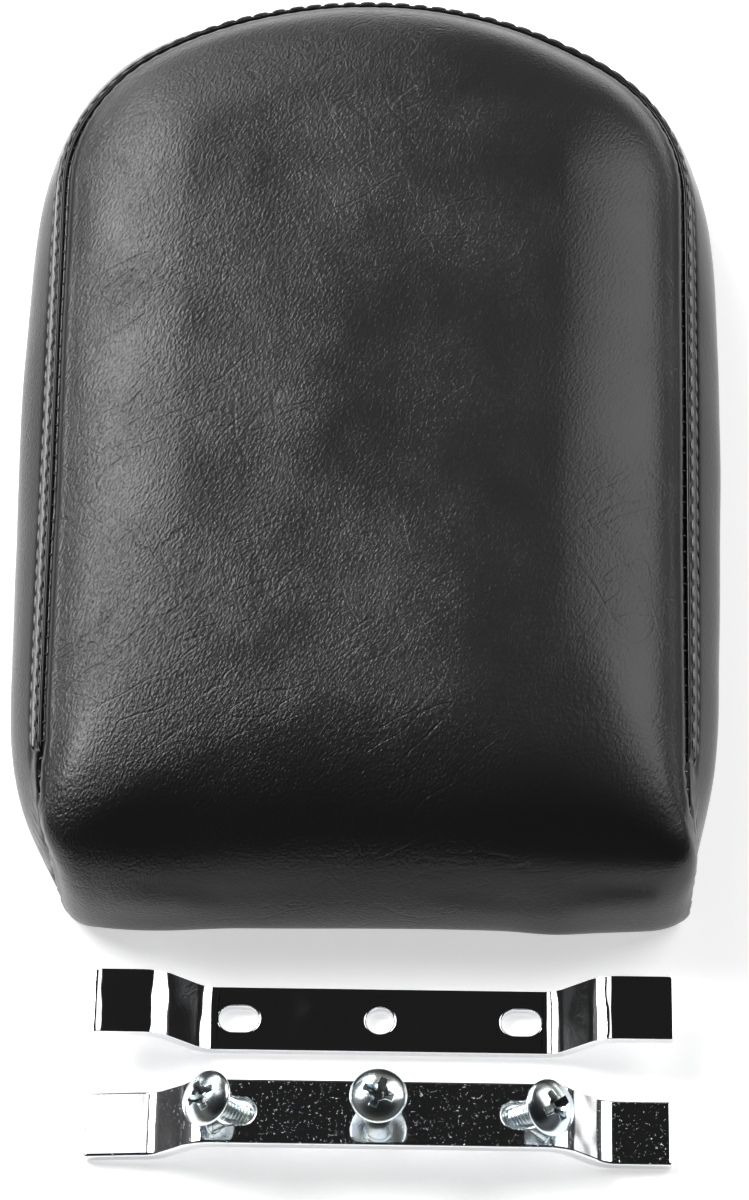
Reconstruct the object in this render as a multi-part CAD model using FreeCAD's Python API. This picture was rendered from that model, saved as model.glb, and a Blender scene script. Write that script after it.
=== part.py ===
import FreeCAD, Part
import math
import os

# Sissy bar pad lying on its back, with its two strap brackets and three screws
# laid out in front of its lower edge. X right, Y up the pad, Z out of its face.
# The origin is the centre of the pad's footprint, in the plane it lies on. Millimetres.

# Cushion
face_width = 168.6          # between the side seams
seam_top = 130.0            # seam at the crest of the arch, from the centre
lower_reach = 139.5         # lower edge, from the centre
arch_radius = 110.0         # flat middle of the arch, along the seam
shoulder_radius = 50.0      # arch to side, along the seam
side_taper = 0.6            # degrees, each side of the face
bulge_taper = 1.1           # further degrees where the boxing stands out most
corner_radius = 8.5         # lower corners, seen from the front
bulge_fade_start = 80.0     # below the centre, where the boxing's bulge starts to die out
seam_height = 40.0          # side seam above the back
crown_rise = 14.2           # crown of the face above the seam
crown_reach = 34.0          # from the seam to the gently domed middle of the face
crown_dome = 0.9            # further rise to the middle
boxing_bulge = 13.4         # boxing beyond the seam
waterfall = 8.0             # lower edge drawn back where the face turns over
hem_tuck = 6.0              # lower edge drawn in under the board
cover_thickness = 1.4       # grained vinyl
hem_width = 23.0            # cover folded under the board, in a rebate
hem_clearance = 0.2         # hem to the rebate's wall
seam_drop_start = 107.0     # below the centre, where the side seam starts to fall
seam_drop_end = 129.0       # below the centre, where it reaches the back

# Topstitched band beside the seam
band_width = 4.4
band_thickness = 0.9
band_end = 105.0            # below the centre
band_clearance = 0.35       # under the seam line

# Board and inserts
board_thickness = 9.5
board_margin = -1.0         # board beyond the seam line
board_edge = 1.0            # eased edge of the board
thread_diameter = 6.35
insert_barrel = 8.6
insert_flange = 19.0
insert_flange_thickness = 1.6
insert_prong_length = 6.0
insert_prongs = 3
upper_insert_y = 62.0
lower_insert_y = -58.0
screw_well = 12.0           # room in the foam for a screw's end
well_diameter = 10.0

# Strap brackets
strap_width = 17.4
strap_thickness = 3.3
strap_length = 150.0
joggle_offset = 11.2        # ends above the middle
joggle_start = 46.5         # from the middle to the first bend
joggle_run = 11.5           # along the strap, bend to bend
bend_radius = 2.6           # inside
edge_round = 0.7            # long edges, one side
end_round = 0.8             # corners of the ends
hole_diameter = 7.1
slot_spacing = 73.0         # slot to slot, as the two lower inserts
slot_length = 10.2
hole_chamfer = 0.55
bracket_shift = 4.4         # along X, as laid out
upper_bracket_gap = 14.6    # pad to the upper bracket
between_brackets = 12.4

# Screws
screw_major = 6.2
screw_length = 25.4
screw_tip = 0.8
head_diameter = 14.5
head_height = 3.9
head_rim = 1.1
recess_span = 8.2
recess_depth = 3.0
recess_wing = 1.9
lean_left = 35.0            # degrees from upright, towards -X
lean_right = 35.2           # towards +X
lean_front = 6.5            # the right screw, towards -Y
turn_left = 20.0            # cross recess about the screw's axis
turn_middle = 68.0
turn_right = 35.0

V = FreeCAD.Vector
UP = V(0, 0, 1)

# Side section, from the back to the seam: height as a share of seam_height,
# outset as a share of boxing_bulge, lower edge as a share of hem_tuck or waterfall.
LOWER = [(0.0, 0.24, -1.0), (0.035, 0.50, -0.55), (0.12, 0.76, -0.12), (0.27, 0.97, 0.0),
         (0.48, 1.0, 0.0), (0.72, 0.68, 0.25), (0.89, 0.30, 0.62)]
# From the seam to the crown: height as a share of crown_rise, inset as a share of
# crown_reach, and the lower edge's inset as a share of the same reach.
UPPER = [(0.0, 0.0, 0.0), (0.27, 0.08, 0.13), (0.55, 0.24, 0.32), (0.79, 0.50, 0.60),
         (0.93, 0.76, 0.86), (1.0, 1.0, 1.10)]


def tombstone(outset, lower, radius, taper):
    """Centres and angles of the tombstone outline: corner, shoulder and arch."""
    r_shoulder = shoulder_radius + outset
    cx = face_width / 2 - shoulder_radius
    arch_y = seam_top - arch_radius
    cy = arch_y + math.sqrt((arch_radius - shoulder_radius) ** 2 - cx ** 2)
    t = math.radians(taper)
    side_top = V(cx + r_shoulder * math.cos(t), cy - r_shoulder * math.sin(t), 0)
    # the corner's centre lies one radius from the side and from the lower edge
    inner = side_top + V(-math.cos(t), math.sin(t), 0) * radius
    corner = inner + V(-math.sin(t), -math.cos(t), 0) * ((inner.y - lower - radius) / math.cos(t))
    return corner, V(cx, cy, 0), V(0, arch_y, 0), t, math.atan2(cy - arch_y, cx)


def on_arc(centre, r, angle):
    return centre + V(math.cos(angle), math.sin(angle), 0) * r


def half_outline(outset, lower, radius, taper, scale=1.0, fade=0.0):
    """Right half of the tombstone outline, from its lower middle to its crest, as points."""
    corner, shoulder, arch, t, joint = tombstone(outset, lower, radius, taper)
    side_end = on_arc(corner, radius, -t)
    side_top = on_arc(shoulder, shoulder_radius + outset, -t)
    def faded(p):
        # the boxing's bulge dies out towards the lower corners
        share = max(0.0, (-bulge_fade_start - p.y) / (lower_reach - bulge_fade_start))
        return V(p.x - fade * share ** 2, p.y, 0)

    foot = faded(V(corner.x, lower, 0))
    points = [V(foot.x * i / 4, lower, 0) for i in range(5)]
    for centre, r, a0, a1, count in ((corner, radius, -math.pi / 2, -t, 5),
                                     (None, 0, 0, 0, 5),
                                     (shoulder, shoulder_radius + outset, -t, joint, 6),
                                     (arch, arch_radius + outset, joint, math.pi / 2, 4)):
        for i in range(1, count + 1):
            if centre is None:
                points.append(faded(side_end + (side_top - side_end) * (i / count)))
            else:
                points.append(faded(on_arc(centre, r, a0 + (a1 - a0) * i / count)))
    # level at the crest
    points.insert(-1, V(points[-2].x / 3, points[-1].y, 0))
    middle = V(0, (lower + seam_top + outset) / 2, 0)
    return [middle + (p - middle) * scale for p in points]


def outline(outset, lower, radius, taper, z):
    """Closed outline at height z, as lines and tangent arcs."""
    corner, shoulder, arch, t, joint = tombstone(outset, lower, radius, taper)
    r_shoulder, r_arch = shoulder_radius + outset, arch_radius + outset
    up = V(0, 0, z)

    def flip(p):
        return V(-p.x, p.y, p.z)

    arcs = []
    for centre, r, a0, a1 in ((corner, radius, -math.pi / 2, -t), (shoulder, r_shoulder, -t, joint)):
        arcs.append([on_arc(centre, r, a) + up for a in (a0, (a0 + a1) / 2, a1)])
    low, high = arcs
    left_low, left_high = ([flip(p) for p in reversed(three)] for three in arcs)
    edges = [Part.makeLine(flip(low[0]), low[0]), Part.Arc(*low).toShape(),
             Part.makeLine(low[2], high[0]), Part.Arc(*high).toShape(),
             Part.Arc(high[2], on_arc(arch, r_arch, math.pi / 2) + up, flip(high[2])).toShape(),
             Part.Arc(*left_high).toShape(),
             Part.makeLine(flip(high[0]), flip(low[2])), Part.Arc(*left_low).toShape()]
    return Part.Wire(edges)


def profile_rows(inset):
    """Rows from the back to the crown: height, outset, lower edge, taper and scale."""
    rows = []
    for share, out, edge in LOWER:
        lower = -lower_reach - hem_tuck * min(edge, 0) + waterfall * max(edge, 0)
        rows.append((share * seam_height, boxing_bulge * out, lower, side_taper + bulge_taper * out))
    for share, draw, front in UPPER:
        z = seam_height + crown_rise * share
        rows.append((z, -crown_reach * draw, -lower_reach + waterfall + crown_reach * front, side_taper))
    curve = Part.BSplineCurve()
    curve.interpolate([V(d, lower, z) for z, d, lower, t in rows])
    first, last = curve.FirstParameter, curve.LastParameter
    count = 15
    smooth = []
    for i in range(count + 1):
        p = curve.value(first + (last - first) * i / count)
        share = max(p.x, 0) / boxing_bulge
        smooth.append((p.z, p.x, p.y, side_taper + bulge_taper * min(share, 1.0), 1.0))
    z, d, lower, t, _ = smooth[-1]
    for scale in (0.72, 0.4, 0.12):
        smooth.append((z + crown_dome * (1 - scale ** 2), d, lower, t, scale))
    back, crown = smooth[0][0], smooth[-1][0]
    grow = (crown - back - 2 * inset) / (crown - back)
    return [(back + inset + (z - back) * grow, d - inset, lower + inset, t, scale)
            for z, d, lower, t, scale in smooth]


def smooth_surface(net):
    """Cubic surface that follows a net of points and ends on its borders."""
    def clamped(count):
        inner = count - 4
        return [4] + [1] * inner + [4], [float(i) for i in range(inner + 2)]

    u_mults, u_knots = clamped(len(net))
    v_mults, v_knots = clamped(len(net[0]))
    surface = Part.BSplineSurface()
    surface.buildFromPolesMultsKnots(net, u_mults, v_mults, u_knots, v_knots, False, False, 3, 3)
    return surface


def cushion(inset=0.0):
    """Crowned cushion body, drawn in by inset on every side."""
    grid = []
    for z, out, lower, taper, scale in profile_rows(inset):
        fade = boxing_bulge * (taper - side_taper) / bulge_taper
        grid.append([V(p.x, p.y, z) for p in half_outline(out, lower, corner_radius, taper, scale, fade)])
    faces = []
    for sign in (1, -1):
        net = [[V(sign * p.x, p.y, p.z) for p in row] for row in grid]
        faces.append(smooth_surface(net).toShape())
    shell = Part.makeShell(faces)
    shell.sewShape()
    rims = [e for e in shell.Edges if e.BoundBox.ZLength < 1e-4]
    for z in (grid[0][0].z, grid[-1][0].z):
        ring = [e for e in rims if abs(e.BoundBox.ZMin - z) < 1e-3]
        faces.append(Part.Face(Part.Wire(Part.__sortEdges__(ring))))
    shell = Part.makeShell(faces)
    shell.sewShape()
    solid = Part.makeSolid(shell)
    if solid.Volume < 0:
        solid.reverse()
    return solid


def prism_x(points, half):
    """Prism along X of a polygon given as (y, z) pairs."""
    ring = [V(-half, y, z) for y, z in points]
    return Part.Face(Part.makePolygon(ring + ring[:1])).extrude(V(2 * half, 0, 0))


def slab(z0, z1, outset, lower, radius):
    return Part.Face(outline(outset, lower, radius, side_taper, z0)).extrude(UP * (z1 - z0))


def face_region(drop=0.0):
    """Everything on the face's side of the seam: above it, and in front of it where it falls."""
    reach = face_width
    z = seam_height - drop
    start, end = -seam_drop_start, -seam_drop_end
    fall = Part.BSplineCurve()
    fall.interpolate([V(0, start + (end - start) * across, z * up)
                      for across, up in ((0.0, 1.0), (0.45, 0.955), (0.74, 0.80), (0.92, 0.55),
                                         (1.0, 0.22), (1.02, -0.05))])
    top = seam_height + crown_rise * 3
    far = seam_top + boxing_bulge * 4
    near = -lower_reach - boxing_bulge * 3
    foot = fall.value(fall.LastParameter)
    edges = [fall.toShape(),
             Part.makeLine(foot, V(0, near, foot.z)),
             Part.makeLine(V(0, near, foot.z), V(0, near, top)),
             Part.makeLine(V(0, near, top), V(0, far, top)),
             Part.makeLine(V(0, far, top), V(0, far, z)),
             Part.makeLine(V(0, far, z), V(0, start, z))]
    face = Part.Face(Part.Wire(edges))
    face.translate(V(-reach, 0, 0))
    return face.extrude(V(2 * reach, 0, 0))


def lower_hem(board_lower):
    """The hem's stretch along the lower edge, mitred to the corners."""
    half = face_width / 2 + board_margin - hem_width + hem_clearance
    inside = board_lower + hem_width - hem_clearance
    outside = -lower_reach - boxing_bulge
    spread = (face_width / 2 - half) * (inside - outside) / (inside + seam_drop_end)
    ring = [V(-half, inside + 1, -1), V(half, inside + 1, -1), V(half, inside, -1),
            V(half + spread, outside, -1), V(-half - spread, outside, -1), V(-half, inside, -1)]
    return Part.Face(Part.makePolygon(ring + ring[:1])).extrude(UP * (1 + cover_thickness))


def build_inserts():
    spots = {"insert_upper": (0.0, upper_insert_y),
             "insert_lower_left": (-slot_spacing / 2, lower_insert_y),
             "insert_lower_right": (slot_spacing / 2, lower_insert_y)}
    front = board_thickness
    made = {}
    for name, (x, y) in spots.items():
        barrel = Part.makeCylinder(insert_barrel / 2, board_thickness, V(x, y, 0))
        flange = Part.makeCylinder(insert_flange / 2, insert_flange_thickness, V(x, y, front))
        body = barrel.fuse(flange)
        for i in range(insert_prongs):
            a = 2 * math.pi * i / insert_prongs + math.pi / 2
            prong = Part.makeBox(insert_flange_thickness, insert_flange * 0.16, insert_prong_length)
            prong.translate(V(insert_flange * 0.36, -insert_flange * 0.08, -insert_prong_length))
            prong.rotate(V(0, 0, 0), UP, math.degrees(a))
            prong.translate(V(x, y, front))
            body = body.fuse(prong)
        bore = Part.makeCylinder(thread_diameter / 2, board_thickness + insert_flange_thickness + 2,
                                 V(x, y, -1))
        made[name] = (x, y, body.removeSplitter().cut(bore))
    return made


def build_cushion(inserts):
    front = board_thickness
    outer = cushion()
    inner = cushion(cover_thickness)
    board_lower = -lower_reach + boxing_bulge - board_margin
    board = slab(cover_thickness, front, board_margin, board_lower, corner_radius)
    rim = [e for e in board.Edges if abs(e.BoundBox.ZLength) < 1e-6]
    board = board.makeChamfer(board_edge, rim)
    # the middle of its back stands down to the hem's level
    middle = slab(0, front, board_margin - hem_width, board_lower + hem_width, corner_radius)
    board = board.fuse(middle).removeSplitter()

    # cover: a skin between the two bodies, open at the back inside the hem
    opening = slab(-1, cover_thickness + 1, board_margin - hem_width + hem_clearance,
                   board_lower + hem_width - hem_clearance, corner_radius)
    skin = outer.cut(inner).cut(opening)
    region = face_region().fuse(lower_hem(board_lower))
    face_panel = skin.common(region)
    boxing = skin.cut(region)

    foam = inner.cut(board)
    for x, y, body in inserts.values():
        flange = Part.makeCylinder(insert_flange / 2, insert_flange_thickness, V(x, y, front))
        well = Part.makeCylinder(well_diameter / 2, insert_flange_thickness + screw_well, V(x, y, front))
        foam = foam.cut(flange).cut(well)
        board = board.cut(body).cut(Part.makeCylinder(thread_diameter / 2, board_thickness + 2,
                                                      V(x, y, -1)))

    # band: the boxing's outer skin raised by the band's thickness, in a strip below the seam
    raised = cushion(-band_thickness)
    top = seam_height - band_clearance
    far = seam_top + boxing_bulge * 3
    strip = prism_x([(-band_end, top - band_width), (far, top - band_width), (far, top),
                     (-band_end, top)], face_width)
    band = raised.cut(outer).common(strip)
    return {"base_board": board, "foam_core": foam, "face_panel": face_panel,
            "side_boxing": boxing, "seam_band": band}


def strap():
    """Joggled strap: middle on z=0, both ends raised, holes cut, rounded long edges below."""
    half = strap_length / 2
    a = V(0, 0, 0)
    b = V(joggle_start, 0, 0)
    c = V(joggle_start + joggle_run, 0, joggle_offset)
    d = V(half, 0, joggle_offset)
    slope = math.atan2(joggle_offset, joggle_run)
    r_in, r_out = bend_radius, bend_radius + strap_thickness

    def bent(offset):
        # one side of the strap, offset from its lower side by the thickness or by nothing
        first = b + V(-math.tan(slope / 2) * offset, 0, offset)
        second = c + V(-math.tan(slope / 2) * offset, 0, offset)
        return [a + UP * offset, first, second, d + UP * offset]

    def rounded(points, r1, r2):
        p0, p1, p2, p3 = points
        u = (p2 - p1).normalize()
        t1 = r1 * math.tan(slope / 2)
        t2 = r2 * math.tan(slope / 2)
        m1 = p1 + V(-1, 0, 0) * t1
        e1 = p1 + u * t1
        c1 = m1 + UP * r1
        mid1 = c1 + V(math.sin(slope / 2), 0, -math.cos(slope / 2)) * r1
        m2 = p2 - u * t2
        e2 = p2 + V(1, 0, 0) * t2
        c2 = e2 - UP * r2
        mid2 = c2 + V(-math.sin(slope / 2), 0, math.cos(slope / 2)) * r2
        return [(p0, m1), (m1, mid1, e1), (e1, m2), (m2, mid2, e2), (e2, p3)]

    below = bent(0.0)
    above = bent(strap_thickness)
    run_below = rounded(below, r_out, r_in)
    run_above = rounded(above, r_in, r_out)

    def edges(run, sign):
        made = []
        for item in run:
            pts = [V(sign * p.x, 0, p.z) for p in item]
            made.append(Part.makeLine(*pts) if len(pts) == 2 else Part.Arc(*pts).toShape())
        return made

    ring = edges(run_below, 1) + [Part.makeLine(below[3], above[3])] + edges(run_above, 1)
    ring += edges(run_above, -1)
    ring += [Part.makeLine(V(-above[3].x, 0, above[3].z), V(-below[3].x, 0, below[3].z))]
    ring += edges(run_below, -1)
    wire = Part.Wire(Part.__sortEdges__(ring))
    body = Part.Face(wire).extrude(V(0, strap_width, 0))
    body.translate(V(0, -strap_width / 2, 0))
    body = body.removeSplitter()
    ends = [e for e in body.Edges if abs(abs(e.CenterOfMass.x) - half) < 1e-6
            and e.BoundBox.ZLength > strap_thickness * 0.9]
    body = body.makeChamfer(end_round, ends)
    # the long edges of the side that the shear rolls over
    tool_side = [e for e in body.Edges
                 if abs(abs(e.CenterOfMass.y) - strap_width / 2) < 1e-6 and is_below(e)]
    body = body.makeChamfer(edge_round, tool_side)

    tall = strap_thickness * 3
    cuts = [Part.makeCylinder(hole_diameter / 2, tall, V(0, 0, -strap_thickness))]
    top = strap_thickness
    r = hole_diameter / 2
    cuts.append(Part.makeCone(r, r + hole_chamfer * 2, hole_chamfer * 2,
                              V(0, 0, top - hole_chamfer)))
    for side in (-1, 1):
        cx = side * slot_spacing / 2
        grow = (slot_length - hole_diameter) / 2
        cuts.append(slot_cut(cx, grow, r, -strap_thickness, tall))
        cuts.append(slot_flare(cx, grow, r, top - hole_chamfer))
    for cut in cuts:
        body = body.cut(cut)
    return body


def is_below(edge):
    """True for an edge of the strap's lower side."""
    mid = edge.valueAt((edge.FirstParameter + edge.LastParameter) / 2)
    return mid.z < under_side(abs(mid.x)) + strap_thickness * 0.45


def under_side(x):
    """Height of the strap's lower side, without its bend radii."""
    share = min(max((x - joggle_start) / joggle_run, 0.0), 1.0)
    return joggle_offset * share


def slot_face(cx, grow, r, z):
    a, b = V(cx - grow, r, z), V(cx + grow, r, z)
    c, d = V(cx + grow, -r, z), V(cx - grow, -r, z)
    return Part.Wire([Part.makeLine(a, b), Part.Arc(b, V(cx + grow + r, 0, z), c).toShape(),
                      Part.makeLine(c, d), Part.Arc(d, V(cx - grow - r, 0, z), a).toShape()])


def slot_cut(cx, grow, r, z, tall):
    return Part.Face(slot_face(cx, grow, r, z)).extrude(UP * tall)


def slot_flare(cx, grow, r, z):
    wires = [slot_face(cx, grow, r, z),
             slot_face(cx, grow, r + hole_chamfer * 2, z + hole_chamfer * 2)]
    return Part.makeLoft(wires, True, True)


def screw():
    """Truss head screw standing on z=0 tip down, axis on Z."""
    r = screw_major / 2
    shank = Part.makeCylinder(r, screw_length, V(0, 0, 0))
    tip = [e for e in shank.Edges if e.BoundBox.ZMax < 1e-6]
    shank = shank.makeChamfer(screw_tip, tip)
    base = screw_length
    rim = head_diameter / 2
    top = base + head_height
    shoulder = base + head_rim
    arc_mid = dome_point(rim, head_rim, head_height, 0.5)
    ring = [Part.makeLine(V(0, 0, base), V(rim - 0.35, 0, base)),
            Part.makeLine(V(rim - 0.35, 0, base), V(rim, 0, base + 0.35)),
            Part.makeLine(V(rim, 0, base + 0.35), V(rim, 0, shoulder)),
            Part.Arc(V(rim, 0, shoulder), V(arc_mid[0], 0, base + arc_mid[1]),
                     V(0, 0, top)).toShape(),
            Part.makeLine(V(0, 0, top), V(0, 0, base))]
    head = Part.Face(Part.Wire(ring)).revolve(V(0, 0, 0), UP, 360)
    body = shank.fuse(head)
    for turn in (0, 90):
        body = body.cut(wing(turn, top))
    core = Part.makeCone(recess_wing * 0.35, recess_wing * 1.15, recess_depth + 1,
                         V(0, 0, top - recess_depth))
    return body.cut(core)


def dome_point(rim, low, high, share):
    """Point of the dome's arc at a share of its half angle, as (radius, height)."""
    rise = high - low
    sphere = (rim * rim + rise * rise) / (2 * rise)
    angle = math.asin(rim / sphere) * share
    return sphere * math.sin(angle), high - sphere + sphere * math.cos(angle)


def wing(turn, top):
    """Tapered wing of the cross recess, wider and longer at the head's surface."""
    wires = []
    for share in (0.0, 1.0):
        z = top - recess_depth + (recess_depth + 0.4) * share
        long = recess_span / 2 * (0.36 + 0.64 * share)
        wide = recess_wing / 2 * (0.62 + 0.38 * share)
        ring = [V(-long, -wide, z), V(long, -wide, z), V(long, wide, z), V(-long, wide, z)]
        wires.append(Part.makePolygon(ring + ring[:1]))
    made = Part.makeLoft(wires, True, True)
    made.rotate(V(0, 0, 0), UP, turn)
    return made


def lean(body, x, y, z, toward_x, toward_y, turn):
    """Screw turned about its axis, leaned, its axis through (x, y, z), its tip on z=0."""
    placed = body.copy()
    placed.rotate(V(0, 0, 0), UP, turn)
    placed.rotate(V(0, 0, 0), V(0, 1, 0), toward_x)
    placed.rotate(V(0, 0, 0), V(1, 0, 0), toward_y)
    placed.translate(V(0, 0, -placed.optimalBoundingBox(False).ZMin))
    tilt = FreeCAD.Rotation(V(1, 0, 0), toward_y).multiply(
        FreeCAD.Rotation(V(0, 1, 0), toward_x))
    axis = tilt.multVec(UP)
    lift = placed_tip_height(axis)
    placed.translate(V(x - axis.x / axis.z * (z - lift), y - axis.y / axis.z * (z - lift), 0))
    return placed


def placed_tip_height(axis):
    """Height of the centre of the tip's flat when its chamfered rim touches z=0."""
    flat = screw_major / 2 - screw_tip
    side = math.sqrt(max(1 - axis.z ** 2, 0.0))
    return max(flat * side, screw_major / 2 * side - screw_tip * axis.z)


def main():
    inserts = build_inserts()
    shapes = build_cushion(inserts)
    for name, (x, y, body) in inserts.items():
        shapes[name] = body

    piece = strap()
    upper_y = -lower_reach - upper_bracket_gap - strap_width / 2
    lower_y = upper_y - strap_width - between_brackets
    upper = piece.copy()
    upper.translate(V(bracket_shift, upper_y, 0))
    shapes["bracket_upper"] = upper
    lower = piece.copy()
    lower.rotate(V(0, 0, 0), V(1, 0, 0), 180)
    lower.translate(V(bracket_shift, lower_y, joggle_offset + strap_thickness))
    shapes["bracket_lower"] = lower

    one = screw()
    mid_z = joggle_offset + strap_thickness / 2
    shapes["screw_middle"] = lean(one, bracket_shift, lower_y, mid_z, 0, 0, turn_middle)
    shapes["screw_left"] = lean(one, bracket_shift - slot_spacing / 2, lower_y, mid_z,
                                -lean_left, 0, turn_left)
    shapes["screw_right"] = lean(one, bracket_shift + slot_spacing / 2, lower_y, mid_z,
                                 lean_right, lean_front, turn_right)

    os.makedirs("parts", exist_ok=True)
    for name, shape in shapes.items():
        if shape.ShapeType == "Compound" and len(shape.Solids) == 1:
            shape = shape.Solids[0]
        shape.exportStep(os.path.join("parts", name + ".step"))
        box = shape.BoundBox
        print("%-20s %-9s solids %d valid %s vol %.0f box x %.1f %.1f y %.1f %.1f z %.2f %.2f" % (
            name, shape.ShapeType, len(shape.Solids), shape.isValid(), shape.Volume, box.XMin,
            box.XMax, box.YMin, box.YMax, box.ZMin, box.ZMax))


main()
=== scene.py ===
import math
import random

import bmesh
import bpy
from mathutils import Matrix, Vector, noise
from mathutils.bvhtree import BVHTree
from mathutils.kdtree import KDTree


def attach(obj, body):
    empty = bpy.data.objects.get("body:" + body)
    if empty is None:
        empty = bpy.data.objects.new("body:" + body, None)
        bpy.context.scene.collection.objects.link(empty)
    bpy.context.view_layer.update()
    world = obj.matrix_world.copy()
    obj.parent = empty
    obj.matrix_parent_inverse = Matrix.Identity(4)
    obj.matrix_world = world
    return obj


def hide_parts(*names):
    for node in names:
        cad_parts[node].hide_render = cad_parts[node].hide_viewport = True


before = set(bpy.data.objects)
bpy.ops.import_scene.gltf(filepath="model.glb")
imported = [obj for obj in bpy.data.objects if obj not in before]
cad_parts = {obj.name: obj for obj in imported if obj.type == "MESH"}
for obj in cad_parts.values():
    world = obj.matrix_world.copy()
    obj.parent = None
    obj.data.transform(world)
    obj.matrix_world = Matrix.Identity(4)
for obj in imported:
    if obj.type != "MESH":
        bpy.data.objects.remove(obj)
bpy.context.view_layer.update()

mm = 0.001
random.seed(7)
print("frame loaded:", len(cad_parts), "nodes")


def addObject(name, data):
    made = bpy.data.objects.new(name, data)
    bpy.context.scene.collection.objects.link(made)
    return made


def meshObject(name, bm):
    mesh = bpy.data.meshes.new(name)
    bm.to_mesh(mesh)
    bm.free()
    return addObject(name, mesh)


def newPiece(name, bm):
    bm.normal_update()
    piece = meshObject(name, bm)
    piece.data.polygons.foreach_set("use_smooth", [True] * len(piece.data.polygons))
    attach(piece, "root")
    return piece


def bakeModifiers(piece):
    # the evaluated mesh takes the place of the piece's own
    bpy.context.view_layer.update()
    graph = bpy.context.evaluated_depsgraph_get()
    made = bpy.data.meshes.new_from_object(piece.evaluated_get(graph))
    piece.modifiers.clear()
    old = piece.data
    piece.data = made
    bpy.data.meshes.remove(old)


def toMetres(bm):
    # shapes are drawn in millimetres
    bmesh.ops.scale(bm, vec=(mm, mm, mm), verts=bm.verts[:])


def roundEdges(bm, edges, radius, segments, **more):
    bmesh.ops.bevel(bm, geom=edges, offset=radius, segments=segments, affect="EDGES",
                    profile=0.5, material=-1, **more)


def cutAway(piece, tool, crossing=False):
    # crossing tells that the cutter runs through itself
    cut = piece.modifiers.new("cut", "BOOLEAN")
    cut.operation = "DIFFERENCE"
    cut.solver = "EXACT"
    cut.use_self = crossing
    cut.object = tool
    bakeModifiers(piece)
    bpy.data.objects.remove(tool)


def smoothStep(low, high, value):
    t = min(max((value - low) / (high - low), 0.0), 1.0)
    return t * t * (3 - 2 * t)


def bell(distance, width):
    return math.exp(-(distance / width) ** 2)


def aimFrom(thing, place, target):
    thing.location = place
    thing.rotation_mode = "QUATERNION"
    thing.rotation_quaternion = (Vector(target) - Vector(place)).to_track_quat("-Z", "Y")


# camera: looks down at the pad from its lower end
camera = addObject("camera", bpy.data.cameras.new("camera"))
camera.data.lens = 132.1          # for the 36 mm long side of the picture
aimFrom(camera, (0.00985, -0.6013, 1.0595), (0.0010, -0.0380, 0.0))
camera.data.clip_start = 0.05
camera.data.clip_end = 20
bpy.context.scene.camera = camera


# the padded cover, in millimetres and degrees
cover = {
    "faceWidth": 168.6, "seamTop": 130.0, "archRadius": 110.0, "shoulderRadius": 50.0,
    "cornerRadius": 8.5, "cornerGrowth": 0.8, "sideTaper": 0.6, "bulgeTaper": 1.1,
    "fadeStart": 80.0, "lowerReach": 139.5, "seamHeight": 40.0, "boxingBulge": 13.4,
    "dropStart": 107.0, "dropEnd": 129.0, "floorGap": 0.02,
    "sectionRows": 34, "crownRings": (0.9, 0.8, 0.7, 0.6, 0.5, 0.4, 0.3, 0.2, 0.1, 0.03),
    "crownDome": 0.9, "crownRadius": 62.0, "crownNarrow": 14.0,
    "counts": (8, 6, 22, 10, 9),      # columns: lower edge, corner, side, shoulder, arch
    "pressure": 4.0, "clothFrames": 20, "swellLimit": 2.2, "fill": 0.9,
}
# outset, lower edge and height of the rows of the hem, from its inner edge outwards
hemRows = [(-24.0, -102.1, 1.35), (-24.0, -102.1, 0.25), (-22.0, -104.5, 0.2),
           (-15.0, -112.0, 0.25), (-8.0, -120.0, 0.2), (-2.0, -128.0, 0.1)]
# share of the fall's run, and share of the seam's height, from the side view
seamFall = [(0.0, 1.0), (0.45, 0.955), (0.74, 0.80), (0.92, 0.55), (1.0, 0.22), (1.02, -0.05)]
# height, outset and lower edge of the rows of the section, from the back to the crown
coverRows = [(0.0, 3.2, -133.5), (2.7, 8.3, -137.5), (8.1, 12.0, -139.4), (15.0, 13.7, -139.6),
             (21.9, 12.7, -139.2), (28.1, 9.6, -137.7), (33.5, 5.8, -135.6), (38.4, 1.4, -132.8),
             (42.7, -1.9, -128.5), (46.2, -5.4, -123.6), (48.6, -9.9, -118.8),
             (50.4, -14.5, -113.8), (51.8, -19.2, -108.8), (52.9, -24.1, -103.9),
             (53.7, -29.1, -99.1), (54.2, -34.0, -94.1)]


def onArc(centre, radius, angle):
    return Vector((centre[0] + math.cos(angle) * radius, centre[1] + math.sin(angle) * radius))


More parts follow.
